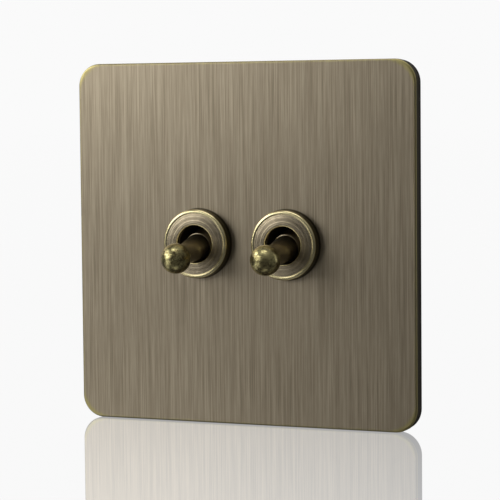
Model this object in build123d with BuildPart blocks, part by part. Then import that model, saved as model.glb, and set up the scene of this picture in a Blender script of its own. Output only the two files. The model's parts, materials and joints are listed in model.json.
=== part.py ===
# Two-gang toggle wall switch with a screwless square metal plate, in millimetres.
#
# Frame: +Z up, -Y out of the wall towards the user, +X to the right as the user sees it.
# The origin is the centre of the plate on the wall plane: the rim of the backing frame
# lies on y = 0, and the switch modules reach from there into the wall box along +Y.
#
# Depths are y values; lengths along the lever or the rocker are measured from its own pivot.
from build123d import *
from math import cos, radians, sin, sqrt
import os

os.makedirs("parts", exist_ok=True)

# ---------------------------------------------------------------- driving dimensions
PLATE_SIDE = 86.0          # standard square accessory plate
PLATE_CORNER_R = 5.4
PLATE_THICK = 2.0
PLATE_EDGE_R = 0.45        # rubbed round front edge
GANG_PITCH = 22.5          # between the two toggles
FIXING_PITCH = 60.3        # wall box lug spacing
FIXING_SLOT_WIDTH = 4.6    # for M4 screws
FIXING_SLOT_LENGTH = 7.2

BACKING_THICK = 1.8        # moulded frame between plate and wall
BACKING_SKIN = 1.2
BACKING_INSET = 0.1        # how far its edge stands back from the plate's edge
BACKING_RIM = 5.0
YOKE_THICK = 1.2
YOKE_WIDTH = 70.0
YOKE_HEIGHT = 46.0
YOKE_CORNER_R = 3.0

THREAD_R = 6.0             # bush thread, shown plain
COLLAR_R = 8.2
COLLAR_PROUD = 3.1
COLLAR_MOUTH_R = 4.5
COLLAR_EDGE_R = 0.55
COLLAR_MOUTH_CHAMFER = 0.15

LEVER_TILT = 8.5           # each side of straight out, so the throw is twice this
BALL_R = 3.55
BALL_REACH = 18.3          # lever pivot to ball centre
NECK_R = 2.1
FOOT_R = 3.4               # wide end of the tapered stem, just inside the mouth
FOOT_REACH = 5.6           # lever pivot to the foot
FOOT_THICK = 0.4
WAIST_R = 2.4              # between the foot and the pivot ball
WAIST_REACH = 4.2
PIVOT_BALL_R = 3.8

ROCKER_RATIO = 1.2         # rocker angle over lever angle
PLUNGER_R = 1.5

MODULE_WIDTH = 20.6
MODULE_HEIGHT = 35.0
MODULE_DEPTH = 24.0
MODULE_WALL = 1.5
MODULE_CORNER_R = 1.2

PRESS_GAP = 0.05           # between parts that are pushed or screwed together
LOOSE_GAP = 0.15           # between parts that drop into place
RUNNING_GAP = 0.04         # between parts that move on each other

# ---------------------------------------------------------------- worked out from them
Y_PLATE_FRONT = -(PLATE_THICK + BACKING_THICK)
Y_PLATE_BACK = -BACKING_THICK
Y_YOKE_FRONT = Y_PLATE_BACK + BACKING_SKIN
Y_YOKE_BACK = Y_YOKE_FRONT + YOKE_THICK
Y_COLLAR_FRONT = Y_PLATE_FRONT - COLLAR_PROUD
COLLAR_LIP = 1.3                           # mouth lip, in front of the bush
Y_BUSH_FRONT = Y_COLLAR_FRONT + COLLAR_LIP
Y_PIVOT = 0.8                              # lever pivot axis
Y_MODULE_FRONT = Y_YOKE_BACK
Y_COVER_FRONT = Y_MODULE_FRONT + MODULE_DEPTH

FRONT_WALL = 2.0
BUSH_BORE_R = 4.6
BUSH_FLANGE_R = 7.5
BUSH_FLANGE_THICK = 1.2
BUSH_CHAMFER = 0.25
PIN_R = 1.0

TIP_CENTRE = 8.5                           # lever pivot to the plunger tip's centre
SHANK_END = 7.6
SHANK_R = 2.5
BORE_BOTTOM = 1.9
BORE_R = PLUNGER_R + 2 * RUNNING_GAP
PLUNGER_BACK = 4.9

ROCKER_OFFSET = 13.4                       # lever pivot to rocker pivot
Y_ROCKER = Y_PIVOT + ROCKER_OFFSET
ROCKER_TILT = ROCKER_RATIO * LEVER_TILT
ROCKER_PIN_R = 0.8
ROCKER_WIDTH = 5.0
ROCKER_HALF_LENGTH = 8.6
TIP_Z = 7.3                                # contact tips along the rocker
TIP_R = 1.5
TIP_THICK = 0.8
ARM_FRONT = -1.6                           # rocker arm faces, from the rocker's pivot
ARM_BACK = -0.4
TROUGH_BLOCK_FRONT = -4.9                  # block that the trough is cut into
TROUGH_BLOCK_HEIGHT = 6.2
PIVOT_BOSS_R = 1.7                         # round the rocker's pin, on rocker and ears
DOME_R = 3.0                               # fixed silver tips

Y_STRIP = 16.6                             # front face of the fixed contact strips
STRIP_THICK = 1.0
Y_STRIP_BACK = Y_STRIP + STRIP_THICK
STRIP_SIDE = 8.4                           # outer edges of the strips, from the module's centre
STRIP_END = 15.6
BRIDGE_HALF_HEIGHT = 2.6                   # part of the common strip that carries the ears
BRIDGE_RIGHT = 4.2
STEM_LEFT = -4.6
STEM_TOP = 8.8
COMMON_TAB_RIGHT = -2.4
ARM_LEFT = -2.2                            # part of a fixed strip that carries the dome
ARM_RIGHT = 3.4
ARM_NEAR = 4.6
ARM_FAR = 8.2
SLOPE_END = 8.4
FIXED_TAB_LEFT = 2.0

PILLAR_X = 5.2
PILLAR_Z = 12.2
PILLAR_WIDTH = 6.4
PILLAR_HEIGHT = 6.8
PILLAR_DEPTH = 6.2
Y_PILLAR_BACK = Y_STRIP_BACK + PILLAR_DEPTH
WIRE_R = 1.75
WIRE_DEPTH = 5.2
WIRE_FUNNEL_R = 2.6
CLAMP_SCREW_R = 1.5
CLAMP_HEAD_R = 2.7
CLAMP_HEAD_THICK = 1.4
CLAMP_SLOT_WIDTH = 0.8
CLAMP_SLOT_DEPTH = 0.8
Y_CLAMP_SCREW = Y_STRIP_BACK + 3.4

CAVITY_HALF_X = 7.9
CAVITY_HALF_Z = 11.0
TRAY_HALF_X = MODULE_WIDTH / 2 - MODULE_WALL
TRAY_HALF_Z = MODULE_HEIGHT / 2 - MODULE_WALL
COVER_THICK = 1.6
COVER_BOSS_Z = 13.6
COVER_BOSS_R = 1.8
COVER_SCREW_R = 0.8
COVER_SCREW_LENGTH = 6.0
COVER_SCREW_HOLE_R = 1.1
COVER_HEAD_R = 1.8
COVER_HEAD_THICK = 1.1
COVER_CROSS_LENGTH = 2.4
COVER_CROSS_WIDTH = 0.5
COVER_CROSS_DEPTH = 0.7

GANGS = (("left", -GANG_PITCH / 2), ("right", GANG_PITCH / 2))
# x and z of the common, upper and lower pillars from the module's centre
TERMINALS = ((-PILLAR_X, PILLAR_Z), (PILLAR_X, PILLAR_Z), (PILLAR_X, -PILLAR_Z))


def facing_wall(y, x=0.0, z=0.0):
    """Plane parallel to the wall at depth y: sketch x is +X, sketch y is +Z, normal is -Y."""
    return Plane(origin=(x, y, z), x_dir=(1, 0, 0), z_dir=(0, -1, 0))


def along_axis(x, y, tilt=0.0):
    """Plane through a toggle's axis: sketch x is the radius, sketch y runs into the wall."""
    return Plane(origin=(x, y, 0), x_dir=(1, 0, 0),
                 z_dir=(0, -sin(radians(tilt)), cos(radians(tilt))))


def axis_of(plane):
    """Line of revolution of an along_axis plane."""
    return Axis(plane.origin, plane.y_dir)


def across(x, y, tilt=0.0):
    """Plane square to X: sketch x runs into the wall, sketch y is up, both turned by tilt."""
    turn = radians(tilt)
    return Plane(origin=(x, y, 0), x_dir=(0, cos(turn), sin(turn)), z_dir=(1, 0, 0))


def at_gangs(z=0.0):
    """Sketch places of both toggles on a facing_wall plane."""
    return [(x, z) for _, x in GANGS]


# ---------------------------------------------------------------- front plate
BUSH_HOLE_R = THREAD_R + LOOSE_GAP

with BuildPart() as front_plate:
    with BuildSketch(facing_wall(Y_PLATE_BACK)):
        RectangleRounded(PLATE_SIDE, PLATE_SIDE, PLATE_CORNER_R)
        with Locations(*at_gangs()):
            Circle(BUSH_HOLE_R, mode=Mode.SUBTRACT)
    extrude(amount=PLATE_THICK)
    front_rim = front_plate.faces().sort_by(Axis.Y)[0].outer_wire().edges()
    fillet(front_rim, radius=PLATE_EDGE_R)
front_plate.part.label = "front_plate"
export_step(front_plate.part, "parts/front_plate.step")

# ---------------------------------------------------------------- backing frame
BACKING_SIDE = PLATE_SIDE - 2 * BACKING_INSET
BACKING_CORNER_R = PLATE_CORNER_R - BACKING_INSET
NUT_WINDOW_R = 8.7
ACCESS_R = 4.7             # lets a low screw head through to the yoke
STAKE_R = 1.5
STAKE_HEAD_R = 2.3
STAKE_HEAD_THICK = 0.6
STAKE_X = 27.0
STAKE_Z = 18.0
STAKE_PLACES = [(x, z) for x in (-STAKE_X, STAKE_X) for z in (-STAKE_Z, STAKE_Z)]
FIXING_PLACES = [(-FIXING_PITCH / 2, 0), (FIXING_PITCH / 2, 0)]

with BuildPart() as backing_frame:
    with BuildSketch(facing_wall(Y_YOKE_FRONT)):
        RectangleRounded(BACKING_SIDE, BACKING_SIDE, BACKING_CORNER_R)
        with Locations(*at_gangs()):
            Circle(NUT_WINDOW_R, mode=Mode.SUBTRACT)
        with Locations(*FIXING_PLACES):
            Circle(ACCESS_R, mode=Mode.SUBTRACT)
    extrude(amount=BACKING_SKIN)
    with BuildSketch(facing_wall(0)):
        RectangleRounded(BACKING_SIDE, BACKING_SIDE, BACKING_CORNER_R)
        inner = BACKING_SIDE - 2 * BACKING_RIM
        RectangleRounded(inner, inner, BACKING_CORNER_R / 2, mode=Mode.SUBTRACT)
    extrude(amount=BACKING_THICK - BACKING_SKIN)
    with BuildSketch(facing_wall(Y_YOKE_BACK)):
        with Locations(*STAKE_PLACES):
            Circle(STAKE_R)
    extrude(amount=YOKE_THICK)
    with BuildSketch(facing_wall(Y_YOKE_BACK + STAKE_HEAD_THICK)):
        with Locations(*STAKE_PLACES):
            Circle(STAKE_HEAD_R)
    extrude(amount=STAKE_HEAD_THICK)
backing_frame.part.label = "backing_frame"
export_step(backing_frame.part, "parts/backing_frame.step")

# ---------------------------------------------------------------- mounting yoke
YOKE_LIP = 3.0             # stiffening lips folded back along the top and bottom edges
YOKE_LIP_LENGTH = 54.0
EARTH_X = 27.5
EARTH_Z = -9.0
EARTH_THREAD_R = 1.75

with BuildPart() as mounting_yoke:
    with BuildSketch(facing_wall(Y_YOKE_BACK)):
        RectangleRounded(YOKE_WIDTH, YOKE_HEIGHT, YOKE_CORNER_R)
        with Locations(*at_gangs()):
            Circle(THREAD_R + 2 * PRESS_GAP, mode=Mode.SUBTRACT)
        with Locations(*FIXING_PLACES):
            SlotOverall(FIXING_SLOT_LENGTH, FIXING_SLOT_WIDTH, mode=Mode.SUBTRACT)
        with Locations(*STAKE_PLACES):
            Circle(STAKE_R + 2 * PRESS_GAP, mode=Mode.SUBTRACT)
        with Locations((EARTH_X, EARTH_Z)):
            Circle(EARTH_THREAD_R + PRESS_GAP, mode=Mode.SUBTRACT)
    extrude(amount=YOKE_THICK)
    with BuildSketch(facing_wall(Y_YOKE_BACK + YOKE_LIP)):
        lip_z = (YOKE_HEIGHT - YOKE_THICK) / 2
        with Locations((0, lip_z), (0, -lip_z)):
            Rectangle(YOKE_LIP_LENGTH, YOKE_THICK)
    extrude(amount=YOKE_LIP)
mounting_yoke.part.label = "mounting_yoke"
export_step(mounting_yoke.part, "parts/mounting_yoke.step")

# ---------------------------------------------------------------- earth terminal
EARTH_CLAMP_THICK = 1.0
EARTH_CLAMP_SIDE = 8.0
EARTH_CLAMP_CORNER_R = 1.0
EARTH_HEAD_R = 3.3
EARTH_HEAD_THICK = 2.0
EARTH_HEAD_EDGE_R = 0.7
EARTH_SLOT_LENGTH = 4.6
EARTH_SLOT_WIDTH = 0.9
EARTH_SLOT_DEPTH = 1.0

with BuildPart() as earth_clamp:
    with BuildSketch(facing_wall(Y_YOKE_BACK + EARTH_CLAMP_THICK, EARTH_X, EARTH_Z)):
        RectangleRounded(EARTH_CLAMP_SIDE, EARTH_CLAMP_SIDE, EARTH_CLAMP_CORNER_R)
        Circle(EARTH_THREAD_R + LOOSE_GAP, mode=Mode.SUBTRACT)
    extrude(amount=EARTH_CLAMP_THICK)
earth_clamp.part.label = "earth_clamp"
export_step(earth_clamp.part, "parts/earth_clamp.step")

with BuildPart() as earth_screw:
    y_head = Y_YOKE_BACK + EARTH_CLAMP_THICK
    with BuildSketch(facing_wall(y_head + EARTH_HEAD_THICK, EARTH_X, EARTH_Z)):
        Circle(EARTH_HEAD_R)
    extrude(amount=EARTH_HEAD_THICK)
    fillet(earth_screw.edges().sort_by(Axis.Y)[-1], radius=EARTH_HEAD_EDGE_R)
    with BuildSketch(facing_wall(y_head, EARTH_X, EARTH_Z)):
        Circle(EARTH_THREAD_R)
    extrude(amount=EARTH_CLAMP_THICK + YOKE_THICK)
    with BuildSketch(facing_wall(y_head + EARTH_HEAD_THICK, EARTH_X, EARTH_Z)):
        Rectangle(EARTH_SLOT_LENGTH, EARTH_SLOT_WIDTH)
    extrude(amount=EARTH_SLOT_DEPTH, mode=Mode.SUBTRACT)
earth_screw.part.label = "earth_screw"
export_step(earth_screw.part, "parts/earth_screw.step")

# ---------------------------------------------------------------- lock nuts on both bushes
LOCK_NUT_THICK = 1.1
LOCK_NUT_FLATS = 14.0

with BuildPart() as lock_nuts:
    with BuildSketch(facing_wall(Y_YOKE_FRONT)):
        with Locations(*at_gangs()):
            RegularPolygon(LOCK_NUT_FLATS / 2, 6, major_radius=False)
            Circle(THREAD_R + PRESS_GAP, mode=Mode.SUBTRACT)
    extrude(amount=LOCK_NUT_THICK)
lock_nuts.part.label = "lock_nuts"
export_step(lock_nuts.part, "parts/lock_nuts.step")

# ---------------------------------------------------------------- pivot pins
LEVER_PIN_LENGTH = 11.6

with BuildPart() as lever_pins:
    for _, x in GANGS:
        with BuildSketch(across(x, Y_PIVOT)):
            Circle(PIN_R)
        extrude(amount=LEVER_PIN_LENGTH / 2, both=True)
lever_pins.part.label = "lever_pins"
export_step(lever_pins.part, "parts/lever_pins.step")

EAR_INNER_X = ROCKER_WIDTH / 2 + 0.4
EAR_THICK = 1.0
ROCKER_PIN_PROUD = 0.3

with BuildPart() as rocker_pins:
    for _, x in GANGS:
        with BuildSketch(across(x, Y_ROCKER)):
            Circle(ROCKER_PIN_R)
        extrude(amount=EAR_INNER_X + EAR_THICK + ROCKER_PIN_PROUD, both=True)
rocker_pins.part.label = "rocker_pins"
export_step(rocker_pins.part, "parts/rocker_pins.step")

# ---------------------------------------------------------------- one toggle after the other
for side, gang_x in GANGS:

    # threaded bush: clamps the housing to the yoke and carries the lever's pin
    bush_plane = along_axis(gang_x, 0)
    y_flange = Y_MODULE_FRONT + FRONT_WALL
    with BuildPart() as bush:
        with BuildSketch(bush_plane):
            with BuildLine():
                Polyline(
                    (BUSH_BORE_R, Y_BUSH_FRONT),
                    (THREAD_R, Y_BUSH_FRONT),
                    (THREAD_R, y_flange),
                    (BUSH_FLANGE_R, y_flange),
                    (BUSH_FLANGE_R, y_flange + BUSH_FLANGE_THICK),
                    (BUSH_BORE_R, y_flange + BUSH_FLANGE_THICK),
                    close=True,
                )
            make_face()
        revolve(axis=axis_of(bush_plane))
        chamfer(bush.edges().group_by(Axis.Y)[0], length=BUSH_CHAMFER)
        with BuildSketch(across(gang_x, Y_PIVOT)):
            Circle(PIN_R)
        extrude(amount=2 * THREAD_R, both=True, mode=Mode.SUBTRACT)
    bush.part.label = f"bush_{side}"
    export_step(bush.part, f"parts/bush_{side}.step")

    # dress collar: a round nut on the bush that holds the plate
    with BuildPart() as collar:
        with BuildSketch(bush_plane):
            with BuildLine():
                Polyline(
                    (COLLAR_MOUTH_R, Y_COLLAR_FRONT),
                    (COLLAR_R, Y_COLLAR_FRONT),
                    (COLLAR_R, Y_PLATE_FRONT),
                    (THREAD_R + PRESS_GAP, Y_PLATE_FRONT),
                    (THREAD_R + PRESS_GAP, Y_BUSH_FRONT - LOOSE_GAP),
                    (COLLAR_MOUTH_R, Y_BUSH_FRONT - LOOSE_GAP),
                    close=True,
                )
            make_face()
        revolve(axis=axis_of(bush_plane))
        front_edges = collar.edges().group_by(Axis.Y)[0].sort_by(SortBy.LENGTH)
        chamfer(front_edges[0], length=COLLAR_MOUTH_CHAMFER)
        fillet(front_edges[-1], radius=COLLAR_EDGE_R)
    collar.part.label = f"collar_{side}"
    export_step(collar.part, f"parts/collar_{side}.step")

    # lever: ball knob, tapered stem, pivot ball and hollow shank, at rest with the knob down
    lever_plane = along_axis(gang_x, Y_PIVOT, LEVER_TILT)
    neck_v = -BALL_REACH + sqrt(BALL_R**2 - NECK_R**2)
    ball_front_v = -sqrt(PIVOT_BALL_R**2 - WAIST_R**2)
    shank_v = sqrt(PIVOT_BALL_R**2 - SHANK_R**2)
    with BuildPart() as lever:
        with BuildSketch(lever_plane):
            with BuildLine():
                ThreePointArc((0, -BALL_REACH - BALL_R), (BALL_R, -BALL_REACH), (NECK_R, neck_v))
                Polyline(
                    (NECK_R, neck_v),
                    (FOOT_R, -FOOT_REACH),
                    (FOOT_R, -FOOT_REACH + FOOT_THICK),
                    (WAIST_R, -WAIST_REACH),
                    (WAIST_R, ball_front_v),
                )
                ThreePointArc((WAIST_R, ball_front_v), (PIVOT_BALL_R, 0), (SHANK_R, shank_v))
                Polyline(
                    (SHANK_R, shank_v),
                    (SHANK_R, SHANK_END),
                    (BORE_R, SHANK_END),
                    (BORE_R, BORE_BOTTOM),
                    (0, BORE_BOTTOM),
                    (0, -BALL_REACH - BALL_R),
                )
            make_face()
        revolve(axis=axis_of(lever_plane))
        with BuildSketch(across(gang_x, Y_PIVOT)):
            Circle(PIN_R + RUNNING_GAP)
        extrude(amount=2 * PIVOT_BALL_R, both=True, mode=Mode.SUBTRACT)
    lever.part.label = f"lever_{side}"
    export_step(lever.part, f"parts/lever_{side}.step")

    # nylon plunger in the lever's shank
    with BuildPart() as plunger:
        with BuildSketch(lever_plane):
            with BuildLine():
                tip_v = TIP_CENTRE + PLUNGER_R
                arc_r = PLUNGER_R * sin(radians(45))
                Polyline(
                    (0, tip_v),
                    (0, PLUNGER_BACK),
                    (PLUNGER_R, PLUNGER_BACK),
                    (PLUNGER_R, TIP_CENTRE),
                )
                ThreePointArc((PLUNGER_R, TIP_CENTRE), (arc_r, TIP_CENTRE + arc_r), (0, tip_v))
            make_face()
        revolve(axis=axis_of(lever_plane))
    plunger.part.label = f"plunger_{side}"
    export_step(plunger.part, f"parts/plunger_{side}.step")

    # its coil spring, between the bottom of the bore and the plunger
    wire_r = 0.2
    coil_r = 1.15
    coils = 4
    end_gap = 0.02
    spring_start = BORE_BOTTOM + wire_r + end_gap
    spring_length = PLUNGER_BACK - BORE_BOTTOM - 2 * (wire_r + end_gap)
    spring_foot = lever_plane.from_local_coords((0, spring_start, 0))
    with BuildPart() as plunger_spring:
        with BuildLine():
            coil = Helix(
                pitch=spring_length / coils,
                height=spring_length,
                radius=coil_r,
                center=spring_foot,
                direction=lever_plane.y_dir,
            )
        with BuildSketch(Plane(origin=coil @ 0, z_dir=coil % 0)):
            Circle(wire_r)
        sweep(path=coil, is_frenet=True)
    plunger_spring.part.label = f"plunger_spring_{side}"
    export_step(plunger_spring.part, f"parts/plunger_spring_{side}.step")

    # rocker: a see-saw contact with a trough for the plunger's tip, upper end pressed in
    rocker_plane = across(gang_x, Y_ROCKER, -ROCKER_TILT)
    half_throw = radians(LEVER_TILT)
    rocker_turn = radians(ROCKER_TILT)
    trough_rest = ROCKER_OFFSET - TIP_CENTRE
    tip_gap = ROCKER_OFFSET - TIP_CENTRE * cos(half_throw)
    tip_rise = TIP_CENTRE * sin(half_throw)
    # how far the tip's centre moves in the rocker's own frame, from straight to full throw
    path_out = tip_gap * cos(rocker_turn) + tip_rise * sin(rocker_turn) - trough_rest
    path_up = tip_rise * cos(rocker_turn) - tip_gap * sin(rocker_turn)
    path_r = (path_up**2 + path_out**2) / (2 * path_out)
    trough_r = path_r + PLUNGER_R + RUNNING_GAP
    with BuildPart() as rocker:
        with BuildSketch(rocker_plane.offset(-ROCKER_WIDTH / 2)):
            with Locations(((ARM_FRONT + ARM_BACK) / 2, 0)):
                Rectangle(ARM_BACK - ARM_FRONT, 2 * ROCKER_HALF_LENGTH)
            with Locations(((ARM_BACK + TROUGH_BLOCK_FRONT) / 2, 0)):
                Rectangle(ARM_BACK - TROUGH_BLOCK_FRONT, TROUGH_BLOCK_HEIGHT)
            Circle(PIVOT_BOSS_R)
            with Locations((-trough_rest - path_r, 0)):
                Circle(trough_r, mode=Mode.SUBTRACT)
            Circle(ROCKER_PIN_R + RUNNING_GAP, mode=Mode.SUBTRACT)
        extrude(amount=ROCKER_WIDTH)
    rocker.part.label = f"rocker_{side}"
    export_step(rocker.part, f"parts/rocker_{side}.step")

    # silver tips on the rocker's two ends
    tip_face = Plane(
        origin=rocker_plane.from_local_coords((ARM_BACK, 0, 0)),
        x_dir=(1, 0, 0),
        z_dir=rocker_plane.x_dir,
    )
    with BuildPart() as rocker_tips:
        with BuildSketch(tip_face):
            with Locations((0, TIP_Z), (0, -TIP_Z)):
                Circle(TIP_R)
        extrude(amount=TIP_THICK)
    rocker_tips.part.label = f"rocker_tips_{side}"
    export_step(rocker_tips.part, f"parts/rocker_tips_{side}.step")

    # common contact: base strip, terminal tab and two ears that hold the rocker's pin
    with BuildPart() as common_contact:
        with BuildSketch(facing_wall(Y_STRIP_BACK, gang_x)):
            with BuildLine():
                Polyline(
                    (-STRIP_SIDE, -BRIDGE_HALF_HEIGHT),
                    (BRIDGE_RIGHT, -BRIDGE_HALF_HEIGHT),
                    (BRIDGE_RIGHT, BRIDGE_HALF_HEIGHT),
                    (STEM_LEFT, BRIDGE_HALF_HEIGHT),
                    (STEM_LEFT, STEM_TOP),
                    (COMMON_TAB_RIGHT, STEM_TOP),
                    (COMMON_TAB_RIGHT, STRIP_END),
                    (-STRIP_SIDE, STRIP_END),
                    close=True,
                )
            make_face()
        extrude(amount=STRIP_THICK)
        for ear_side in (-1, 1):
            ear_x = gang_x + ear_side * (EAR_INNER_X + EAR_THICK / 2)
            with BuildSketch(across(ear_x - EAR_THICK / 2, Y_ROCKER)):
                Circle(PIVOT_BOSS_R)
                with Locations(((Y_STRIP - Y_ROCKER) / 2, 0)):
                    Rectangle(Y_STRIP - Y_ROCKER, 2 * PIVOT_BOSS_R)
                Circle(ROCKER_PIN_R, mode=Mode.SUBTRACT)
            extrude(amount=EAR_THICK)
    common_contact.part.label = f"common_contact_{side}"
    export_step(common_contact.part, f"parts/common_contact_{side}.step")

    # upper and lower fixed contacts: strip with a domed silver tip that meets the rocker's tip
    tip_y = Y_ROCKER + (ARM_BACK + TIP_THICK) * cos(rocker_turn) + TIP_Z * sin(rocker_turn)
    tip_z = TIP_Z * cos(rocker_turn) - (ARM_BACK + TIP_THICK) * sin(rocker_turn)
    dome_y = tip_y + (DOME_R + RUNNING_GAP) * cos(rocker_turn)
    dome_z = tip_z - (DOME_R + RUNNING_GAP) * sin(rocker_turn)
    for level, up in (("upper", 1), ("lower", -1)):
        with BuildPart() as fixed_contact:
            with BuildSketch(facing_wall(Y_STRIP_BACK, gang_x)):
                with BuildLine():
                    Polyline(
                        (ARM_LEFT, up * ARM_NEAR),
                        (ARM_RIGHT, up * ARM_NEAR),
                        (STRIP_SIDE, up * SLOPE_END),
                        (STRIP_SIDE, up * STRIP_END),
                        (FIXED_TAB_LEFT, up * STRIP_END),
                        (FIXED_TAB_LEFT, up * ARM_FAR),
                        (ARM_LEFT, up * ARM_FAR),
                        close=True,
                    )
                make_face()
            extrude(amount=STRIP_THICK)
            dome_plane = Plane(origin=(gang_x, dome_y, up * dome_z), x_dir=(1, 0, 0),
                               z_dir=(0, 0, 1))
            cap_r = sqrt(DOME_R**2 - (dome_y - Y_STRIP) ** 2)
            with BuildSketch(dome_plane):
                with BuildLine():
                    ThreePointArc(
                        (0, -DOME_R),
                        (cap_r / 2, -sqrt(DOME_R**2 - cap_r**2 / 4)),
                        (cap_r, Y_STRIP - dome_y),
                    )
                    Polyline((cap_r, Y_STRIP - dome_y), (0, Y_STRIP - dome_y), (0, -DOME_R))
                make_face()
            revolve(axis=axis_of(dome_plane))
        fixed_contact.part.label = f"{level}_contact_{side}"
        export_step(fixed_contact.part, f"parts/{level}_contact_{side}.step")

    # pillar terminals: brass blocks with a wire hole from the back and a clamp screw hole
    with BuildPart() as pillars:
        for pillar_x, pillar_z in TERMINALS:
            with BuildSketch(facing_wall(Y_PILLAR_BACK, gang_x + pillar_x, pillar_z)):
                Rectangle(PILLAR_WIDTH, PILLAR_HEIGHT)
            extrude(amount=PILLAR_DEPTH)
            with BuildSketch(facing_wall(Y_PILLAR_BACK, gang_x + pillar_x, pillar_z)):
                Circle(WIRE_R)
            extrude(amount=WIRE_DEPTH, mode=Mode.SUBTRACT)
            up = 1 if pillar_z > 0 else -1
            with BuildSketch(Plane(origin=(gang_x + pillar_x, Y_CLAMP_SCREW, pillar_z),
                                   z_dir=(0, 0, up))):
                Circle(CLAMP_SCREW_R + PRESS_GAP)
            extrude(amount=PILLAR_HEIGHT, mode=Mode.SUBTRACT)
    pillars.part.label = f"terminal_pillars_{side}"
    export_step(pillars.part, f"parts/terminal_pillars_{side}.step")

    # clamp screws, backed off so that a wire can go in
    head_seat = TRAY_HALF_Z - LOOSE_GAP
    with BuildPart() as clamp_screws:
        for pillar_x, pillar_z in TERMINALS:
            up = 1 if pillar_z > 0 else -1
            screw_x = gang_x + pillar_x
            screw_tip = PILLAR_Z + WIRE_R + 2 * PRESS_GAP
            slot_floor = head_seat + CLAMP_HEAD_THICK - CLAMP_SLOT_DEPTH
            with BuildSketch(Plane(origin=(screw_x, Y_CLAMP_SCREW, up * screw_tip),
                                   z_dir=(0, 0, up))):
                Circle(CLAMP_SCREW_R)
            extrude(amount=head_seat - screw_tip)
            with BuildSketch(Plane(origin=(screw_x, Y_CLAMP_SCREW, up * head_seat),
                                   z_dir=(0, 0, up))):
                Circle(CLAMP_HEAD_R)
            extrude(amount=CLAMP_HEAD_THICK)
            with BuildSketch(Plane(origin=(screw_x, Y_CLAMP_SCREW, up * slot_floor),
                                   z_dir=(0, 0, up))):
                Rectangle(2 * CLAMP_HEAD_R, CLAMP_SLOT_WIDTH)
            extrude(amount=2 * CLAMP_SLOT_DEPTH, mode=Mode.SUBTRACT)
    clamp_screws.part.label = f"clamp_screws_{side}"
    export_step(clamp_screws.part, f"parts/clamp_screws_{side}.step")

    # housing: moulded box, narrow cavity round the lever and rocker, wide tray for the terminals
    with BuildPart() as housing:
        with BuildSketch(facing_wall(Y_COVER_FRONT, gang_x)):
            RectangleRounded(MODULE_WIDTH, MODULE_HEIGHT, MODULE_CORNER_R)
        extrude(amount=MODULE_DEPTH)
        with BuildSketch(facing_wall(Y_COVER_FRONT, gang_x)):
            Rectangle(2 * TRAY_HALF_X, 2 * TRAY_HALF_Z)
            with Locations((0, COVER_BOSS_Z), (0, -COVER_BOSS_Z)):
                Circle(COVER_BOSS_R, mode=Mode.SUBTRACT)
        extrude(amount=Y_COVER_FRONT - Y_STRIP, mode=Mode.SUBTRACT)
        with BuildSketch(facing_wall(Y_STRIP, gang_x)):
            Rectangle(2 * CAVITY_HALF_X, 2 * CAVITY_HALF_Z)
        extrude(amount=Y_STRIP - y_flange, mode=Mode.SUBTRACT)
        with BuildSketch(facing_wall(y_flange, gang_x)):
            Circle(THREAD_R + PRESS_GAP)
        extrude(amount=FRONT_WALL, mode=Mode.SUBTRACT)
        with BuildSketch(facing_wall(Y_COVER_FRONT, gang_x)):
            with Locations((0, COVER_BOSS_Z), (0, -COVER_BOSS_Z)):
                Circle(COVER_SCREW_R + PRESS_GAP)
        extrude(amount=COVER_SCREW_LENGTH, mode=Mode.SUBTRACT)
        for pillar_x, pillar_z in TERMINALS:
            up = 1 if pillar_z > 0 else -1
            with BuildSketch(Plane(origin=(gang_x + pillar_x, Y_CLAMP_SCREW, up * TRAY_HALF_Z),
                                   z_dir=(0, 0, up))):
                Circle(CLAMP_HEAD_R + 2 * LOOSE_GAP)
            extrude(amount=2 * MODULE_WALL, mode=Mode.SUBTRACT)
    housing.part.label = f"housing_{side}"
    export_step(housing.part, f"parts/housing_{side}.step")

    # cover: closes the back of the housing, with a wire hole over each pillar
    with BuildPart() as cover:
        with BuildSketch(facing_wall(Y_COVER_FRONT + COVER_THICK, gang_x)):
            RectangleRounded(MODULE_WIDTH, MODULE_HEIGHT, MODULE_CORNER_R)
        extrude(amount=COVER_THICK)
        with BuildSketch(facing_wall(Y_COVER_FRONT, gang_x)):
            Rectangle(2 * (TRAY_HALF_X - LOOSE_GAP), 2 * (TRAY_HALF_Z - LOOSE_GAP))
            with Locations((0, COVER_BOSS_Z), (0, -COVER_BOSS_Z)):
                Circle(COVER_BOSS_R + LOOSE_GAP, mode=Mode.SUBTRACT)
        extrude(amount=Y_COVER_FRONT - Y_PILLAR_BACK - PRESS_GAP)
        with BuildSketch(facing_wall(Y_COVER_FRONT + COVER_THICK, gang_x)):
            with Locations(*TERMINALS):
                Circle(WIRE_FUNNEL_R)
            with Locations((0, COVER_BOSS_Z), (0, -COVER_BOSS_Z)):
                Circle(COVER_SCREW_HOLE_R)
        extrude(amount=2 * COVER_THICK, mode=Mode.SUBTRACT)
    cover.part.label = f"cover_{side}"
    export_step(cover.part, f"parts/cover_{side}.step")

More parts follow.
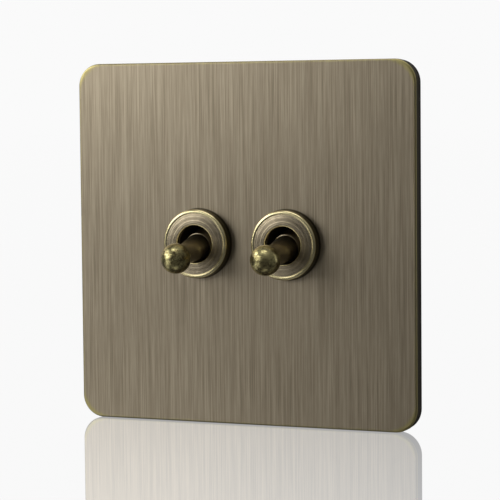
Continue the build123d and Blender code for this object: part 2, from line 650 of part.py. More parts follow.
# ---------------------------------------------------------------- cover screws of both modules
with BuildPart() as cover_screws:
    y_cover_back = Y_COVER_FRONT + COVER_THICK
    y_head = y_cover_back + COVER_HEAD_THICK
    for _, gang_x in GANGS:
        for screw_z in (-COVER_BOSS_Z, COVER_BOSS_Z):
            with BuildSketch(facing_wall(y_cover_back, gang_x, screw_z)):
                Circle(COVER_SCREW_R)
            extrude(amount=COVER_SCREW_LENGTH)
            with BuildSketch(facing_wall(y_head, gang_x, screw_z)):
                Circle(COVER_HEAD_R)
            extrude(amount=COVER_HEAD_THICK)
            with BuildSketch(facing_wall(y_head, gang_x, screw_z)):
                Rectangle(COVER_CROSS_LENGTH, COVER_CROSS_WIDTH)
                Rectangle(COVER_CROSS_WIDTH, COVER_CROSS_LENGTH)
            extrude(amount=COVER_CROSS_DEPTH, mode=Mode.SUBTRACT)
cover_screws.part.label = "cover_screws"
export_step(cover_screws.part, "parts/cover_screws.step")
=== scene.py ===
import bmesh
import bpy
import json
from math import acos, cos, degrees, pi, radians, sin
from mathutils import Matrix, Vector


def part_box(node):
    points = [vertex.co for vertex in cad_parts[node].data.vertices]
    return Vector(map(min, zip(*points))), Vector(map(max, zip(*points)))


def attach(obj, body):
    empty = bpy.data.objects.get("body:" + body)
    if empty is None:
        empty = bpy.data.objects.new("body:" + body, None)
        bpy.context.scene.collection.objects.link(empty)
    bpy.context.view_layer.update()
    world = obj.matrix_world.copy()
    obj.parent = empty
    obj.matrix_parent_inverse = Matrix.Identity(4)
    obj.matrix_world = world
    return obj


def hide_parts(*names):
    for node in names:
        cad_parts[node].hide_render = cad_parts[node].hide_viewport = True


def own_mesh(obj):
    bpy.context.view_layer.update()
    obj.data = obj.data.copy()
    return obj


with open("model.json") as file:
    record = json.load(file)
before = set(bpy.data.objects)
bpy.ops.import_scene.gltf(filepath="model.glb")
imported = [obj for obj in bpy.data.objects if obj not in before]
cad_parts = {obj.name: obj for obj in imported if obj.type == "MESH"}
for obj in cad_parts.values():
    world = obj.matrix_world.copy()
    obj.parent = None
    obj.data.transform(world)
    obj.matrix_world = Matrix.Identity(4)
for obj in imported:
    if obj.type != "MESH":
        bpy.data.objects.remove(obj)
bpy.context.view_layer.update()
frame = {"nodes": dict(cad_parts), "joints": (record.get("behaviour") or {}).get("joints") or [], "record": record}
MM = 0.001
GRAIN_ROUGHNESS = 0.6
METAL, PLASTIC = 1.0, 0.0
PLASTIC_IOR = 1.5

# ---------------------------------------------------------------- places taken from the frame
PLATE_LO, PLATE_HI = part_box("front_plate")
PLATE_SIDE = PLATE_HI.x - PLATE_LO.x
PLATE_FRONT = PLATE_LO.y
PLATE_BACK = PLATE_HI.y
PLATE_CORNER_R = 5.4 * MM
PLATE_EDGE_R = 0.45 * MM
PLATE_HOLE_R = 6.15 * MM
COLLAR_LO, COLLAR_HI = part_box("collar_right")
GANG_X = (COLLAR_LO.x + COLLAR_HI.x) / 2
COLLAR_R = (COLLAR_HI.x - COLLAR_LO.x) / 2
COLLAR_FRONT = COLLAR_LO.y
COLLAR_MOUTH_R = 4.5 * MM
JOINTS = {joint["name"]: joint for joint in frame["joints"]}
LEVER_PIVOT_Y = JOINTS["toggle_left"]["pos_m"][1]
GANGS = (("left", -GANG_X), ("right", GANG_X))


# ---------------------------------------------------------------- mesh helpers
def piece_from(bm, name, material, body, nodes=(), smooth=35):
    """Turns a bmesh into a finished piece that rides on a body and may stand for CAD nodes."""
    bmesh.ops.remove_doubles(bm, verts=bm.verts[:], dist=1e-6)
    bmesh.ops.recalc_face_normals(bm, faces=bm.faces[:])
    mesh = bpy.data.meshes.new(name)
    bm.to_mesh(mesh)
    bm.free()
    piece = bpy.data.objects.new(name, mesh)
    bpy.context.scene.collection.objects.link(piece)
    mesh.materials.append(material)
    mesh.polygons.foreach_set("use_smooth", [True] * len(mesh.polygons))
    mesh.set_sharp_from_angle(angle=radians(smooth))
    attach(piece, body)
    if nodes:
        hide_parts(*nodes)
    return piece


def turn(bm, points, centre, axis, steps=128):
    """Draws a profile through the points and gives it a full turn about an axis."""
    verts = [bm.verts.new(point) for point in points]
    edges = [bm.edges.new(pair) for pair in zip(verts, verts[1:])]
    bmesh.ops.spin(bm, geom=verts + edges, cent=centre, axis=axis, dvec=(0, 0, 0), angle=2 * pi,
                   steps=steps, use_merge=True)


def arc(centre, radius, start, end, steps):
    """Points of an arc in a (radius, depth) profile, angles in degrees."""
    return [(centre[0] + radius * cos(radians(start + (end - start) * i / steps)),
             centre[1] + radius * sin(radians(start + (end - start) * i / steps)))
            for i in range(steps + 1)]


# ---------------------------------------------------------------- material helpers
def linear(hex_colour):
    """sRGB hex to linear RGBA."""
    out = []
    for i in (1, 3, 5):
        c = int(hex_colour[i:i + 2], 16) / 255
        out.append(c / 12.92 if c <= 0.04045 else ((c + 0.055) / 1.055) ** 2.4)
    return (*out, 1)


def add(tree, kind, inputs=None, out=0, **settings):
    """Adds a node, sets its properties and fills its inputs: a socket is linked, a hex string
    is a colour, anything else is the input's own value. Gives back the chosen output."""
    made = tree.nodes.new("ShaderNode" + kind)
    for key, value in settings.items():
        setattr(made, key, value)
    for key, value in (inputs or {}).items():
        if isinstance(value, bpy.types.NodeSocket):
            tree.links.new(value, made.inputs[key])
        else:
            made.inputs[key].default_value = linear(value) if isinstance(value, str) else value
    return made.outputs[out]


def start_finish(name, metallic, roughness):
    """New node material; gives back the material, its tree, its shader and the coordinates."""
    made = bpy.data.materials.new(name)
    made.use_nodes = True
    tree = made.node_tree
    shader = tree.nodes["Principled BSDF"]
    shader.inputs["Metallic"].default_value = metallic
    shader.inputs["Roughness"].default_value = roughness
    return made, tree, shader, add(tree, "TexCoord", out="Object")


def cells(*size_mm):
    """Scale that makes a pattern's cells this size in millimetres along x, y and z."""
    return [1 / (size * MM) for size in size_mm]


def gang_radius(tree, place):
    """How far a point lies from the middle line of the nearer lever hole."""
    aside = add(tree, "Math", {0: place.outputs["X"]}, operation="ABSOLUTE")
    aside = add(tree, "Math", {0: aside, 1: GANG_X}, operation="SUBTRACT")
    aside = add(tree, "Math", {0: aside, 1: 2.0}, operation="POWER")
    height = add(tree, "Math", {0: place.outputs["Z"], 1: 2.0}, operation="POWER")
    return add(tree, "Math", {0: add(tree, "Math", {0: aside, 1: height}, operation="ADD")},
               operation="SQRT")


# ---------------------------------------------------------------- finishes
def brushed_antique_brass():
    """Brass sheet, darkened, brushed up and down and lacquered: grey-brown with fine vertical
    hairlines, golden where the edges were rubbed through, dark on the cut sides, with painted
    shade in a dark ring round each collar."""
    made, tree, shader, coords = start_finish("brushed_antique_brass", METAL, 0.36)
    place = tree.nodes.new("ShaderNodeSeparateXYZ")
    tree.links.new(coords, place.inputs[0])
    # hairlines are about 0.05 mm wide on the real sheet; drawn 0.15 to 0.25 mm wide so that
    # they show: soft ones from narrow cells, crisp ones by stepping across x
    hairline = add(tree, "TexNoise", {
        "Vector": add(tree, "Mapping", {"Vector": coords, "Scale": cells(0.15, 40, 24)}),
        "Scale": 1.0, "Detail": 1.0, "Roughness": GRAIN_ROUGHNESS})
    short_line = add(tree, "TexNoise", {
        "Vector": add(tree, "Mapping", {"Vector": coords, "Scale": cells(0.13, 40, 5)}),
        "Scale": 1.0, "Detail": 1.0, "Roughness": GRAIN_ROUGHNESS})
    line_width = 0.25 * MM
    stepped = add(tree, "CombineXYZ", {
        "X": add(tree, "Math", {0: place.outputs["X"], 1: line_width}, operation="SNAP"),
        "Z": place.outputs["Z"]})
    crisp_line = add(tree, "TexNoise", {
        "Vector": add(tree, "Mapping", {"Vector": stepped, "Scale": cells(0.034, 40, 22)}),
        "Scale": 1.0, "Detail": 0.0, "Roughness": GRAIN_ROUGHNESS})
    cloud = add(tree, "TexNoise", {
        "Vector": add(tree, "Mapping", {"Vector": coords, "Scale": cells(5, 40, 30)}),
        "Scale": 1.0, "Detail": 2.0, "Roughness": GRAIN_ROUGHNESS})
    tone = add(tree, "Math", {0: hairline, 1: 0.3, 2: add(
        tree, "Math", {0: short_line, 1: 0.22, 2: add(
            tree, "Math", {0: crisp_line, 1: 0.4, 2: add(
                tree, "Math", {0: cloud, 1: 0.08}, operation="MULTIPLY")},
            operation="MULTIPLY_ADD")}, operation="MULTIPLY_ADD")}, operation="MULTIPLY_ADD")
    shade = add(tree, "MapRange", {"Value": tone, "From Min": 0.38, "From Max": 0.62})
    face = add(tree, "Mix", {0: shade, 6: "#948873", 7: "#b9ac95"}, out=2, data_type="RGBA")
    stray_line = add(tree, "TexNoise", {
        "Vector": add(tree, "Mapping", {"Vector": coords, "Scale": cells(0.28, 40, 45)}),
        "Scale": 1.0, "Detail": 1.0, "Roughness": GRAIN_ROUGHNESS})
    scratch = add(tree, "MapRange", {"Value": stray_line, "From Min": 0.7, "From Max": 0.85,
                                     "To Max": 0.5})
    face = add(tree, "Mix", {0: scratch, 6: face, 7: "#cfc3a6"}, out=2, data_type="RGBA")
    # how far a point lies inside the outline; a wider corner lets the rubbing run further in
    rubbed_corner, ragged_by = 7.4 * MM, 1.2 * MM
    half = PLATE_SIDE / 2 - rubbed_corner
    over = []
    for side in ("X", "Z"):
        reach = add(tree, "Math", {0: place.outputs[side]}, operation="ABSOLUTE")
        reach = add(tree, "Math", {0: reach, 1: half}, operation="SUBTRACT")
        reach = add(tree, "Math", {0: reach, 1: 0.0}, operation="MAXIMUM")
        over.append(add(tree, "Math", {0: reach, 1: 2.0}, operation="POWER"))
    reach = add(tree, "Math", {0: add(tree, "Math", {0: over[0], 1: over[1]},
                                      operation="ADD")}, operation="SQRT")
    ragged = add(tree, "Math", {0: short_line, 1: ragged_by, 2: reach},
                 operation="MULTIPLY_ADD")
    rubbed = add(tree, "MapRange", {
        "Value": ragged, "From Min": rubbed_corner - 0.2 * MM,
        "From Max": rubbed_corner + 0.8 * MM, "To Max": 0.8}, interpolation_type="SMOOTHSTEP")
    face = add(tree, "Mix", {0: rubbed, 6: face, 7: "#b5aa6e"}, out=2, data_type="RGBA")
    # painted shade: a dark ring on the plate round each collar, where the collar's contact shadow falls
    painted_crevice_shade = add(tree, "MapRange", {
        "Value": gang_radius(tree, place), "From Min": COLLAR_R + 0.35 * MM,
        "From Max": COLLAR_R + 0.1 * MM, "To Max": 0.8}, interpolation_type="SMOOTHSTEP")
    face = add(tree, "Mix", {0: painted_crevice_shade, 6: face, 7: "#2e2617"}, out=2, data_type="RGBA")
    side_wall = add(tree, "MapRange", {
        "Value": place.outputs["Y"], "From Min": PLATE_FRONT + 0.15 * MM,
        "From Max": PLATE_FRONT + 0.55 * MM}, interpolation_type="SMOOTHSTEP")
    colour = add(tree, "Mix", {0: side_wall, 6: face, 7: "#3d3729"}, out=2, data_type="RGBA")
    tree.links.new(colour, shader.inputs["Base Color"])
    gloss = add(tree, "MapRange", {"Value": hairline, "To Min": 0.3, "To Max": 0.44})
    gloss = add(tree, "Math", {0: side_wall, 1: 0.45, 2: gloss}, operation="MULTIPLY_ADD")
    tree.links.new(gloss, shader.inputs["Roughness"])
    relief = add(tree, "Bump", {"Height": tone, "Strength": 0.5, "Distance": 0.02 * MM})
    tree.links.new(relief, shader.inputs["Normal"])
    return made


def turned_antique_brass():
    """Bar brass turned on a lathe, darkened and relieved: fine rings on the grey-brown face,
    rims rubbed back to pale gold, a darker olive wall."""
    made, tree, shader, coords = start_finish("turned_antique_brass", METAL, 0.26)
    place = tree.nodes.new("ShaderNodeSeparateXYZ")
    tree.links.new(coords, place.inputs[0])
    radius = gang_radius(tree, place)
    # tool marks are about 0.1 mm apart on the real nut; drawn 0.25 mm so that they show
    mark_pitch = 0.25 * MM
    across_marks = add(tree, "Math", {0: radius, 1: mark_pitch}, operation="DIVIDE")
    marks = add(tree, "TexNoise", {"Vector": add(tree, "CombineXYZ", {"X": across_marks}),
                                   "Scale": 1.0, "Detail": 2.0})
    patina = add(tree, "TexNoise", {
        "Vector": add(tree, "Mapping", {"Vector": coords, "Scale": cells(1.2, 1.2, 1.2)}),
        "Scale": 1.0, "Detail": 4.0, "Roughness": GRAIN_ROUGHNESS})
    tone = add(tree, "Math", {0: marks, 1: 0.82, 2: add(
        tree, "Math", {0: patina, 1: 0.18}, operation="MULTIPLY")}, operation="MULTIPLY_ADD")
    shade = add(tree, "MapRange", {"Value": tone, "From Min": 0.38, "From Max": 0.62})
    face = add(tree, "Mix", {0: shade, 6: "#6f634e", 7: "#d0c2a5"}, out=2, data_type="RGBA")
    outer = add(tree, "MapRange", {
        "Value": radius, "From Min": COLLAR_R - 1.2 * MM, "From Max": COLLAR_R - 0.5 * MM},
        interpolation_type="SMOOTHSTEP")
    inner = add(tree, "MapRange", {
        "Value": radius, "From Min": COLLAR_MOUTH_R + 0.3 * MM,
        "From Max": COLLAR_MOUTH_R + 0.15 * MM}, interpolation_type="SMOOTHSTEP")
    rim = add(tree, "Math", {0: outer, 1: inner}, operation="MAXIMUM")
    face = add(tree, "Mix", {0: rim, 6: face, 7: "#e6d9a8"}, out=2, data_type="RGBA")
    wall = add(tree, "Mix", {0: patina, 6: "#3f3a20", 7: "#7a7048"}, out=2, data_type="RGBA")
    deep = add(tree, "MapRange", {
        "Value": place.outputs["Y"], "From Min": COLLAR_FRONT + 0.35 * MM,
        "From Max": COLLAR_FRONT + 0.8 * MM}, interpolation_type="SMOOTHSTEP")
    colour = add(tree, "Mix", {0: deep, 6: face, 7: wall}, out=2, data_type="RGBA")
    tree.links.new(colour, shader.inputs["Base Color"])
    relief = add(tree, "Bump", {"Height": marks, "Strength": 0.5, "Distance": 0.02 * MM})
    tree.links.new(relief, shader.inputs["Normal"])
    return made


def handled_knob_brass():
    """Turned brass, darkened, then polished by fingers: the ball is speckled green-gold over
    brown, the stem is a plain grey-brown, the pivot ball is dull."""
    made, tree, shader, coords = start_finish("handled_knob_brass", METAL, 0.3)
    place = tree.nodes.new("ShaderNodeSeparateXYZ")
    tree.links.new(coords, place.inputs[0])
    patches = add(tree, "TexNoise", {
        "Vector": add(tree, "Mapping", {"Vector": coords, "Scale": cells(1.6, 1.6, 1.6)}),
        "Scale": 1.0, "Detail": 3.0, "Roughness": GRAIN_ROUGHNESS})
    speckle = add(tree, "TexNoise", {
        "Vector": add(tree, "Mapping", {"Vector": coords, "Scale": cells(0.28, 0.28, 0.28)}),
        "Scale": 1.0, "Detail": 2.0, "Roughness": GRAIN_ROUGHNESS})
    tone = add(tree, "Math", {0: speckle, 1: 0.45, 2: add(
        tree, "Math", {0: patches, 1: 0.55}, operation="MULTIPLY")}, operation="MULTIPLY_ADD")
    shade = add(tree, "MapRange", {"Value": tone, "From Min": 0.38, "From Max": 0.6})
    ball = add(tree, "Mix", {0: shade, 6: "#48371f", 7: "#d0c68e"}, out=2, data_type="RGBA")
    stem = add(tree, "Mix", {0: tone, 6: "#877a62", 7: "#cfc2a4"}, out=2, data_type="RGBA")
    out_along = add(tree, "Math", {0: place.outputs["Y"], 1: LEVER_PIVOT_Y},
                    operation="SUBTRACT")
    neck_end, ball_start = -14.2 * MM, -15.2 * MM
    is_ball = add(tree, "MapRange", {"Value": out_along, "From Min": neck_end,
                                     "From Max": ball_start}, interpolation_type="SMOOTHSTEP")
    colour = add(tree, "Mix", {0: is_ball, 6: stem, 7: ball}, out=2, data_type="RGBA")
    tree.links.new(colour, shader.inputs["Base Color"])
    foot, pivot_ball = -6.0 * MM, -2.0 * MM
    gloss = add(tree, "MapRange", {"Value": out_along, "From Min": foot,
                                   "From Max": pivot_ball, "To Min": 0.27, "To Max": 0.5})
    tree.links.new(gloss, shader.inputs["Roughness"])
    relief = add(tree, "Bump", {"Height": speckle, "Strength": 0.35, "Distance": 0.02 * MM})
    tree.links.new(relief, shader.inputs["Normal"])
    return made


def small_metal(name, dark, light, roughness, cell_mm):
    """Metal of a hidden working piece: an uneven grain between two close tones."""
    made, tree, shader, coords = start_finish(name, METAL, roughness)
    uneven = add(tree, "TexNoise", {
        "Vector": add(tree, "Mapping", {"Vector": coords, "Scale": cells(*cell_mm)}),
        "Scale": 1.0, "Detail": 4.0, "Roughness": GRAIN_ROUGHNESS})
    colour = add(tree, "Mix", {0: uneven, 6: dark, 7: light}, out=2, data_type="RGBA")
    gloss = add(tree, "MapRange", {"Value": uneven, "To Min": roughness - 0.1,
                                   "To Max": roughness + 0.12})
    relief = add(tree, "Bump", {"Height": uneven, "Strength": 0.5, "Distance": 0.006 * MM})
    tree.links.new(colour, shader.inputs["Base Color"])
    tree.links.new(gloss, shader.inputs["Roughness"])
    tree.links.new(relief, shader.inputs["Normal"])
    return made


def moulded_plastic(name, dark, light, roughness, surface_gloss=0.5):
    """Injection moulding from a spark-eroded tool: a fine even pebble and slow tone drift."""
    made, tree, shader, coords = start_finish(name, PLASTIC, roughness)
    shader.inputs["IOR"].default_value = PLASTIC_IOR
    shader.inputs["Specular IOR Level"].default_value = surface_gloss
    pebble = add(tree, "TexNoise", {
        "Vector": add(tree, "Mapping", {"Vector": coords, "Scale": cells(0.3, 0.3, 0.3)}),
        "Scale": 1.0, "Detail": 2.0, "Roughness": GRAIN_ROUGHNESS})
    drift = add(tree, "TexNoise", {
        "Vector": add(tree, "Mapping", {"Vector": coords, "Scale": cells(9, 9, 9)}),
        "Scale": 1.0, "Detail": 2.0, "Roughness": GRAIN_ROUGHNESS})
    colour = add(tree, "Mix", {0: drift, 6: dark, 7: light}, out=2, data_type="RGBA")
    gloss = add(tree, "MapRange", {"Value": pebble, "To Min": roughness - 0.1,
                                   "To Max": roughness + 0.1})
    relief = add(tree, "Bump", {"Height": pebble, "Strength": 0.6, "Distance": 0.02 * MM})
    tree.links.new(colour, shader.inputs["Base Color"])
    tree.links.new(gloss, shader.inputs["Roughness"])
    tree.links.new(relief, shader.inputs["Normal"])
    return made


FINISHES = {
    "plate_brass": brushed_antique_brass(),
    "turned_brass": turned_antique_brass(),
    "knob_brass": handled_knob_brass(),
    # turned brass, its dark tone painted shade so that the mouth reads as deep: dull and dark
    "bush_brass": small_metal("shade_darkened_brass", "#5a5242", "#958a70", 0.5, (0.8,) * 3),
    # black polycarbonate moulding, deeply matted: a dead black edge behind the plate
    "frame_moulding": moulded_plastic("matt_black_polycarbonate", "#1b1815", "#29241f", 0.6,
                                      surface_gloss=0.02),
    # zinc-plated pressed sheet: pale blue-grey with the cloudy plating bloom
    "yoke_steel": small_metal("zinc_plated_sheet", "#85898d", "#bcc0c4", 0.36, (2.4,) * 3),
    # nickel-plated turned steel: warm bright grey
    "nut_steel": small_metal("nickel_plated_steel", "#a39f92", "#c8c4b8", 0.25, (0.8,) * 3),
    # zinc-plated screws: brighter than the sheet and finer grained
    "screw_steel": small_metal("zinc_plated_screw", "#8d9094", "#c6c9cb", 0.28, (0.4,) * 3),
    # centreless-ground steel: faint rings round the pin
    "pin_steel": small_metal("ground_steel_pin", "#9d9d9d", "#c9c9c9", 0.2, (0.15, 3, 3)),
    # drawn music wire: grey with a dark draw sheen
    "spring_steel": small_metal("drawn_spring_wire", "#6d6f72", "#94979a", 0.32, (0.3,) * 3),
    # unfilled nylon: milky off-white
    "nylon": moulded_plastic("natural_nylon", "#d6d0be", "#e6e2d4", 0.42),
    # rolled copper strip: pink-brown with the rolling lines along it
    "contact_copper": small_metal("rolled_copper_strip", "#9c5f3f", "#c98d66", 0.3, (0.4, 4, 4)),
    # silver alloy rivet: soft white metal
    "silver_tip": small_metal("silver_alloy_rivet", "#bdbcb6", "#e2e0d8", 0.25, (0.4,) * 3),
    # machined free-cutting brass: yellow with milling lines
    "terminal_brass": small_metal("milled_brass", "#a98d4a", "#d3b873", 0.27, (0.25, 3, 3)),
    # black phenolic moulding: a little glossier than the frame
    "housing_moulding": moulded_plastic("black_phenolic", "#17181a", "#232528", 0.4),
    # ivory urea moulding: warm white
    "cover_moulding": moulded_plastic("ivory_urea", "#c9c4b2", "#d8d4c4", 0.38),
}
for row in frame["record"]["subparts"]:
    cad = frame["nodes"][row["node"]]
    cad.data.materials.clear()
    cad.data.materials.append(FINISHES[row["material_slot"]])


# ---------------------------------------------------------------- front plate
def front_plate():
    """Rounded square sheet with a hole for each bush and a soft front edge."""
    bm = bmesh.new()
    half = PLATE_SIDE / 2
    corners = [bm.verts.new((x * half, PLATE_BACK, z * half))
               for x, z in ((-1, -1), (1, -1), (1, 1), (-1, 1))]
    bm.faces.new(corners)
    bmesh.ops.bevel(bm, geom=corners, offset=PLATE_CORNER_R, segments=20, profile=0.5,
                    affect="VERTICES", material=-1)
    bmesh.ops.delete(bm, geom=bm.faces[:], context="FACES_ONLY")
    for _, x in GANGS:
        bmesh.ops.create_circle(bm, radius=PLATE_HOLE_R, segments=96,
                                matrix=Matrix.Translation((x, PLATE_BACK, 0))
                                @ Matrix.Rotation(pi / 2, 4, "X"))
    bmesh.ops.triangle_fill(bm, use_beauty=True, edges=bm.edges[:])
    raised = bmesh.ops.extrude_face_region(bm, geom=bm.faces[:])["geom"]
    bmesh.ops.translate(bm, vec=(0, PLATE_FRONT - PLATE_BACK, 0),
                        verts=[g for g in raised if isinstance(g, bmesh.types.BMVert)])
    bmesh.ops.recalc_face_normals(bm, faces=bm.faces[:])
    rim = [e for e in bm.edges if len(e.link_faces) == 2 and e.calc_face_angle(0) > 1
           and all(abs(v.co.y - PLATE_FRONT) < 1e-6 for v in e.verts)
           and (abs(e.verts[0].co.x) > half * 0.6 or abs(e.verts[0].co.z) > half * 0.6)]
    bmesh.ops.bevel(bm, geom=rim, offset=PLATE_EDGE_R, segments=5, profile=0.5,
                    affect="EDGES", material=-1)
    made = piece_from(bm, "brushed_plate", FINISHES["plate_brass"], "root",
                      ("front_plate",), smooth=40)
    made.modifiers.new("flat_faces", "WEIGHTED_NORMAL").keep_sharp = True
    return made


# ---------------------------------------------------------------- collars
def collar(side, x):
    """Round nut: rounded outer rim, turned face with shallow rings, bright inner rim."""
    rim, thread_r, thread_start = 0.6 * MM, 6.05 * MM, COLLAR_FRONT + 1.1 * MM
    face = [(COLLAR_MOUTH_R, COLLAR_FRONT + 0.22 * MM)]
    face += arc((COLLAR_MOUTH_R + 0.18 * MM, COLLAR_FRONT + 0.2 * MM), 0.18 * MM, 180, 270, 5)
    rings = 10
    step = (COLLAR_R - rim - COLLAR_MOUTH_R - 0.5 * MM) / rings
    for i in range(rings):
        start = COLLAR_MOUTH_R + 0.25 * MM + i * step
        crown = COLLAR_FRONT + 0.2 * MM * (i / rings) ** 1.4
        face += [(start + step * 0.15, crown), (start + step * 0.5, crown + 0.025 * MM),
                 (start + step * 0.85, crown + 0.01 * MM)]
    face += arc((COLLAR_R - rim, COLLAR_FRONT + 0.12 * MM + rim), rim, -96, 0, 12)
    back = COLLAR_HI.y
    face += [(COLLAR_R, back - 0.12 * MM), (COLLAR_R - 0.12 * MM, back), (thread_r, back),
             (thread_r, thread_start), (COLLAR_MOUTH_R, thread_start),
             (COLLAR_MOUTH_R, COLLAR_FRONT + 0.22 * MM)]
    bm = bmesh.new()
    turn(bm, [(x + r, y, 0) for r, y in face], (x, 0, 0), (0, 1, 0))
    return piece_from(bm, f"dress_collar_{side}", FINISHES["turned_brass"], "root",
                      (f"collar_{side}",), smooth=30)


# ---------------------------------------------------------------- levers
def lever(side):
    """Ball knob on a tapered stem with a wide foot, pivot ball and hollow shank, turned about
    the tilted lever axis; a fine shoulder ring stands where the ball meets the neck."""
    pivot = Vector(JOINTS[f"toggle_{side}"]["pos_m"])
    along = -Vector(JOINTS[f"plunge_{side}"]["axis"])
    ball_r, reach = 3.55 * MM, 18.3 * MM
    neck_r, foot_r, foot_reach = 2.1 * MM, 3.4 * MM, 5.6 * MM
    waist_r, pivot_r, shank_r = 2.4 * MM, 3.8 * MM, 2.5 * MM
    shank_end, bore_r, bore_bottom = 7.6 * MM, 1.58 * MM, 1.9 * MM
    neck_angle = degrees(acos(neck_r / ball_r))
    neck_v = -reach + ball_r * sin(radians(neck_angle))
    shape = arc((0, -reach), ball_r, -90, neck_angle - 5, 44)
    shape[0] = (0, shape[0][1])
    shape += [(neck_r + 0.06 * MM, neck_v + 0.1 * MM), (neck_r + 0.02 * MM, neck_v + 0.45 * MM)]
    shape += arc((foot_r - 0.25 * MM, -foot_reach + 0.28 * MM), 0.25 * MM, -80, 75, 8)
    shape += [(waist_r + 0.15 * MM, -4.25 * MM), (waist_r, -4.0 * MM), (waist_r, -3.2 * MM)]
    shape += arc((0, 0), pivot_r, -degrees(acos(waist_r / pivot_r)),
                 degrees(acos(shank_r / pivot_r)), 30)
    shape += [(shank_r, shank_end - 0.2 * MM), (shank_r - 0.2 * MM, shank_end),
              (bore_r, shank_end), (bore_r, bore_bottom), (0, bore_bottom)]
    bm = bmesh.new()
    turn(bm, [pivot + Vector((r, 0, 0)) + along * v for r, v in shape], pivot, along)
    return piece_from(bm, f"ball_lever_{side}", FINISHES["knob_brass"], f"lever_{side}",
                      (f"lever_{side}",), smooth=40)


# ---------------------------------------------------------------- bushes
def bush(side, x):
    """Turned bush: thread crests along its barrel, flange behind the yoke, open bore."""
    low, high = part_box(f"bush_{side}")
    bore_r, crest_r, root_r, flange_r = 4.6 * MM, 6.0 * MM, 5.62 * MM, (high.x - low.x) / 2
    flange_y, pitch = high.y - 1.2 * MM, 0.75 * MM
    shape = [(bore_r, low.y + 0.25 * MM), (bore_r + 0.25 * MM, low.y), (root_r, low.y)]
    turns = int((flange_y - low.y - 0.6 * MM) / pitch)
    for i in range(turns):
        start = low.y + 0.3 * MM + i * pitch
        shape += [(root_r, start), (crest_r, start + 0.32 * pitch),
                  (crest_r, start + 0.45 * pitch), (root_r, start + 0.77 * pitch)]
    shape += [(root_r, flange_y), (flange_r - 0.15 * MM, flange_y),
              (flange_r, flange_y + 0.15 * MM), (flange_r, high.y - 0.15 * MM),
              (flange_r - 0.15 * MM, high.y), (bore_r + 0.2 * MM, high.y),
              (bore_r, high.y - 0.2 * MM), (bore_r, low.y + 0.25 * MM)]
    bm = bmesh.new()
    turn(bm, [(x + r, y, 0) for r, y in shape], (x, 0, 0), (0, 1, 0), steps=96)
    return piece_from(bm, f"threaded_bush_{side}", FINISHES["bush_brass"], "root",
                      (f"bush_{side}",), smooth=30)


# ---------------------------------------------------------------- plunger springs
def coil_spring(side):
    """Drawn wire spring in the lever's shank, riding with the lever."""
    wire = f"plunger_spring_{side}"
    bm = bmesh.new()
    bm.from_mesh(frame["nodes"][wire].data)
    made = piece_from(bm, f"coil_spring_{side}", FINISHES["spring_steel"], f"lever_{side}",
                      (wire,), smooth=50)
    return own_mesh(made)


front_plate()
for gang_side, gang_x in GANGS:
    collar(gang_side, gang_x)
    lever(gang_side)
    bush(gang_side, gang_x)
    coil_spring(gang_side)


# ---------------------------------------------------------------- stage
def camera():
    """Long lens, a little to the right and above, level with the lower half of the plate."""
    azimuth, elevation, roll = radians(22.85), radians(3.93), radians(-0.54)
    target = Vector((1.78 * MM, PLATE_FRONT, -1.38 * MM))
    back = Vector((sin(azimuth) * cos(elevation), -cos(azimuth) * cos(elevation),
                   sin(elevation)))
    right = (-back).cross(Vector((0, 0, 1))).normalized()
    up = right.cross(-back)
    tilted_right = right * cos(roll) + up * sin(roll)
    tilted_up = up * cos(roll) - right * sin(roll)
    data = bpy.data.cameras.new("camera")
    lens_mm, sensor_mm, distance = 148.98, 36, 0.48816
    data.lens = lens_mm
    data.sensor_width = sensor_mm
    data.clip_start = 0.01
    made = bpy.data.objects.new("camera", data)
    bpy.context.scene.collection.objects.link(made)
    turned = Matrix((tilted_right, tilted_up, back)).transposed().to_4x4()
    made.matrix_world = Matrix.Translation(target + back * distance) @ turned
    bpy.context.scene.camera = made


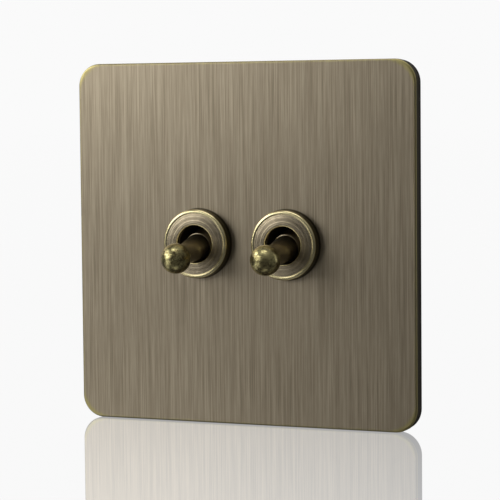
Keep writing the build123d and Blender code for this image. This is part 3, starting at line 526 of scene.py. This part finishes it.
def floor():
    """Opal acrylic table lit from below, polished, so that the plate is mirrored in it."""
    bm = bmesh.new()
    table_r, gap = 6.0, 0.05 * MM
    bmesh.ops.create_circle(bm, cap_ends=True, radius=table_r, segments=96,
                            matrix=Matrix.Translation((0, 0, PLATE_LO.z - gap)))
    mesh = bpy.data.meshes.new("floor")
    bm.to_mesh(mesh)
    bm.free()
    made = bpy.data.objects.new("floor", mesh)
    bpy.context.scene.collection.objects.link(made)
    opal = bpy.data.materials.new("lit_opal_acrylic")
    opal.use_nodes = True
    tree = opal.node_tree
    tree.nodes.clear()
    cast, seen = 0.05, 0.94
    glow = add(tree, "MapRange", {"Value": add(tree, "LightPath", out="Is Camera Ray"),
                                  "To Min": cast, "To Max": seen})
    lit = add(tree, "Emission", {"Color": "#ffffff", "Strength": glow})
    polish = add(tree, "BsdfGlossy", {"Color": "#ffffff", "Roughness": 0.012})
    share = add(tree, "Math", {0: add(tree, "Fresnel", {"IOR": 2.2}), 1: 1.25},
                operation="MULTIPLY", use_clamp=True)
    surface = tree.nodes.new("ShaderNodeOutputMaterial").inputs["Surface"]
    tree.links.new(add(tree, "MixShader", {0: share, 1: lit, 2: polish}), surface)
    made.data.materials.append(opal)


def softbox(name, place, size, radiance):
    """Diffusion panel of an even brightness, whatever its size, aimed at the switch."""
    data = bpy.data.lights.new(name, "AREA")
    data.shape = "RECTANGLE"
    data.size, data.size_y = size
    data.energy = radiance * pi * size[0] * size[1]
    made = bpy.data.objects.new(name, data)
    bpy.context.scene.collection.objects.link(made)
    made.location = place
    made.rotation_euler = (-Vector(place)).to_track_quat("-Z", "Y").to_euler()


def studio():
    """Dim room in front, white paper behind; the paper is what a camera sees all round."""
    made = bpy.data.worlds.new("studio")
    made.use_nodes = True
    bpy.context.scene.world = made
    tree = made.node_tree
    tree.nodes.clear()
    place = tree.nodes.new("ShaderNodeSeparateXYZ")
    tree.links.new(add(tree, "TexCoord", out="Generated"), place.inputs[0])
    paper = add(tree, "MapRange", {"Value": place.outputs["Y"], "From Min": 0.1,
                                   "From Max": 0.45, "To Max": 0.95},
                interpolation_type="SMOOTHSTEP")
    ceiling = add(tree, "MapRange", {"Value": place.outputs["Z"], "From Min": -0.1,
                                     "From Max": 1.0, "To Min": 0.045, "To Max": 0.3},
                  interpolation_type="SMOOTHSTEP")
    glow = add(tree, "Math", {0: paper, 1: ceiling}, operation="MAXIMUM")
    lit = add(tree, "Background", {"Color": "#ffffff", "Strength": glow})
    plain = add(tree, "Background", {"Color": "#fafafa", "Strength": 1.0})
    both = add(tree, "MixShader", {0: add(tree, "LightPath", out="Is Camera Ray"), 1: lit,
                                   2: plain})
    surface = tree.nodes.new("ShaderNodeOutputWorld").inputs["Surface"]
    tree.links.new(both, surface)


camera()
floor()
studio()
softbox("key_softbox", (-0.37, -0.48, 0.2), (0.36, 0.34), 2.36)
softbox("strip_softbox", (-0.42, -0.32, 0.12), (0.12, 0.28), 1.4)
softbox("side_softbox", (-0.5, -0.14, 0.3), (0.3, 0.3), 3.2)
softbox("top_softbox", (0.0, -0.2, 0.6), (0.4, 0.25), 2.0)
bpy.context.scene.view_settings.view_transform = "Standard"
